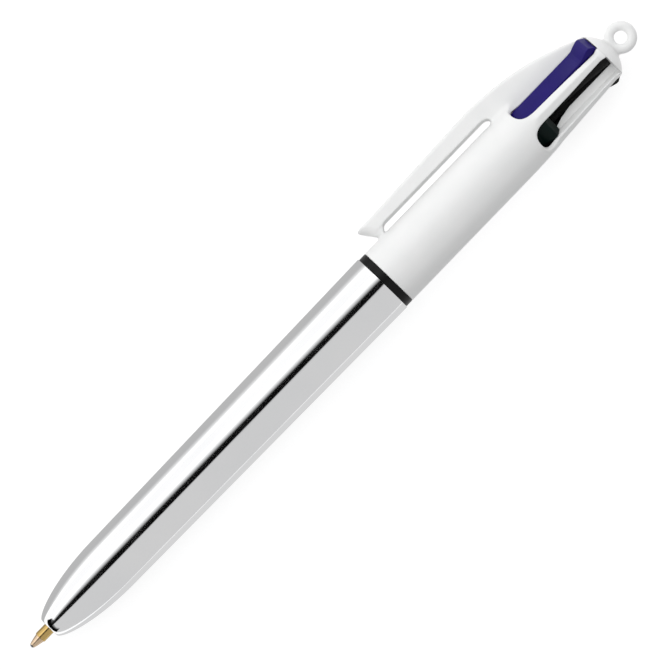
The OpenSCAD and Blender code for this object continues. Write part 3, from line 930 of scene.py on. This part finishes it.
def camera():
    """Long lens at the photograph's angle, with the pen placed in the frame as it is there."""
    near, far = 0.05, 20
    data = bpy.data.cameras.new("camera")
    data.lens, data.sensor_width = LENS, SENSOR
    data.clip_start, data.clip_end = near, far
    obj = bpy.data.objects.new("camera", data)
    bpy.context.scene.collection.objects.link(obj)
    right = AXIS * math.cos(SCREEN_TILT) + PEN_RIGHT * math.sin(SCREEN_TILT)
    up = AXIS * math.sin(SCREEN_TILT) - PEN_RIGHT * math.cos(SCREEN_TILT)
    target = PEN_MIDDLE + right * FRAME_SHIFT[0] + up * FRAME_SHIFT[1]
    aim(obj, target + TO_CAMERA * PHOTO_WIDTH * LENS / SENSOR, target, up)
    bpy.context.scene.camera = obj


def floor():
    """Plain pale floor with a little light of its own, so that it comes out white."""
    size, glow = 4.0, 0.80
    corners = [(-size, -size, 0), (size, -size, 0), (size, size, 0), (-size, size, 0)]
    mesh = bpy.data.meshes.new("floor")
    mesh.from_pydata(corners, [], [(0, 1, 2, 3)])
    obj = bpy.data.objects.new("floor", mesh)
    bpy.context.scene.collection.objects.link(obj)
    paint = Paint("lit_floor", (0.35, 0.35, 0.35), 0.85, Specular_IOR_Level=0.1)
    patches = paint.spread(paint.noise(30, 4), 0, 1)
    paint.colour(paint.mix(patches, (0.352, 0.352, 0.352), (0.345, 0.345, 0.348)))
    paint.roughness(paint.spread(paint.noise(60), 0.8, 0.9))
    paint.shader.inputs["Emission Color"].default_value = (1, 1, 1, 1)
    paint.shader.inputs["Emission Strength"].default_value = glow
    obj.data.materials.append(paint.material)


def around(angle, distance):
    """Place beside the pen. The angle goes about its axis, from the camera's direction towards the
    pen's right."""
    a = math.radians(angle)
    return PEN_MIDDLE + (TO_CAMERA * math.cos(a) + PEN_RIGHT * math.sin(a)) * distance


def panel(name, angle, distance, width, length, power):
    """Soft light whose long side runs along the pen."""
    data = bpy.data.lights.new(name, "AREA")
    data.shape = "RECTANGLE"
    data.size, data.size_y = width, length
    data.energy = power
    obj = bpy.data.objects.new(name, data)
    bpy.context.scene.collection.objects.link(obj)
    aim(obj, around(angle, distance), PEN_MIDDLE, AXIS)


def card(name, points, faces, brightness, fade):
    """Studio card that only polished surfaces see. fade gives each point's opacity."""
    mesh = bpy.data.meshes.new(name)
    mesh.from_pydata([tuple(p) for p in points], [], faces)
    opacity = mesh.attributes.new("fade", "FLOAT", "POINT")
    opacity.data.foreach_set("value", fade)
    obj = bpy.data.objects.new(name, mesh)
    bpy.context.scene.collection.objects.link(obj)
    paint = Paint(name + "_face", (0.002, 0.002, 0.002), 0.9, Specular_IOR_Level=0.0)
    paint.shader.inputs["Emission Color"].default_value = (1, 1, 1, 1)
    paint.shader.inputs["Emission Strength"].default_value = brightness
    amount = paint.node("ShaderNodeAttribute")
    amount.attribute_name = "fade"
    paint.tree.links.new(amount.outputs["Fac"], paint.shader.inputs["Alpha"])
    obj.data.materials.append(paint.material)
    obj.visible_camera = False
    obj.visible_diffuse = False
    obj.visible_shadow = False


def hanging_card(name, low, solid, high, distance, length, brightness):
    """Card curved about the pen. It fades in between the angles low and solid, and ends sharply at
    the angle high."""
    steps = 24
    angles = [low + (high - low) * k / steps for k in range(steps + 1)]
    half = AXIS * length / 2
    edge = [around(a, distance) for a in angles]
    count = len(edge)
    faces = [(k, k + 1, count + k + 1, count + k) for k in range(count - 1)]
    fade = [min(1.0, (a - low) / (solid - low)) for a in angles * 2]
    card(name, [p - half for p in edge] + [p + half for p in edge], faces, brightness, fade)


TWO_BANDS = [(0, 1, 4, 3), (1, 2, 5, 4)]
FADE_OUT = [1.0, 1.0, 0.0] * 2


def floor_shade_card(name, side, solid, far, brightness):
    """Card just above the floor to one side of the pen: painted shade, standing in for the floor that the pen
    darkens beside it, which only polished surfaces reflect. It is solid up to one distance from the axis and fades
    out up to another, both in millimetres."""
    near, above_floor = 0.5, 0.0001
    ends = (ORIGIN.x - 0.01, ORIGIN.x + 0.13)
    rows = [ORIGIN.y + side * d * MM for d in (near, solid, far)]
    card(name, [(x, y, above_floor) for x in ends for y in rows], TWO_BANDS, brightness, FADE_OUT)


def nose_card():
    """Black card upright beyond the writing end, which the end of the nose reflects."""
    x, half_width, solid_height, height = ORIGIN.x - 0.45, 0.35, 0.2, 0.3
    rows = (0.0, solid_height, height)
    points = [(x, y, z) for y in (-half_width, half_width) for z in rows]
    card("nose_card", points, TWO_BANDS, 0.0, FADE_OUT)


def light():
    """Even grey room, one soft light on the pen's left, and the cards that draw the bands of light
    and dark along the polished barrel."""
    world = bpy.data.worlds.new("studio")
    world.use_nodes = True
    sky = world.node_tree.nodes["Background"]
    sky.inputs["Color"].default_value = (0.38, 0.382, 0.386, 1)
    sky.inputs["Strength"].default_value = 1.0
    bpy.context.scene.world = world
    panel("key_light", angle=-25, distance=1.2, width=1.0, length=3.0, power=15.5)
    hanging_card("lens_card", -42, -12, 4.8, 0.5, 2.4, 0.0)
    hanging_card("right_card", 4.8, 5.0, 106, 0.9, 3.0, 0.63)
    hanging_card("side_card", -93, -91, -44, 0.9, 3.0, 1.05)
    # Painted shade: grey cards for the shaded floor on either side of the pen, seen only in the chrome's
    # reflections.
    floor_shade_card("left_floor_card", side=1, solid=16, far=38, brightness=0.5)
    floor_shade_card("right_floor_card", side=-1, solid=80, far=400, brightness=0.68)
    nose_card()
    bpy.context.scene.view_settings.view_transform = "Standard"


lower_barrel()
trim_ring()
threaded_sleeve()
upper_barrel()
partitions()
clip()
end_cap()
sliders()
inner_pieces()
for colour in COLOURS:
    point(colour)
    refill(colour)
    spring(colour)
camera()
floor()
light()
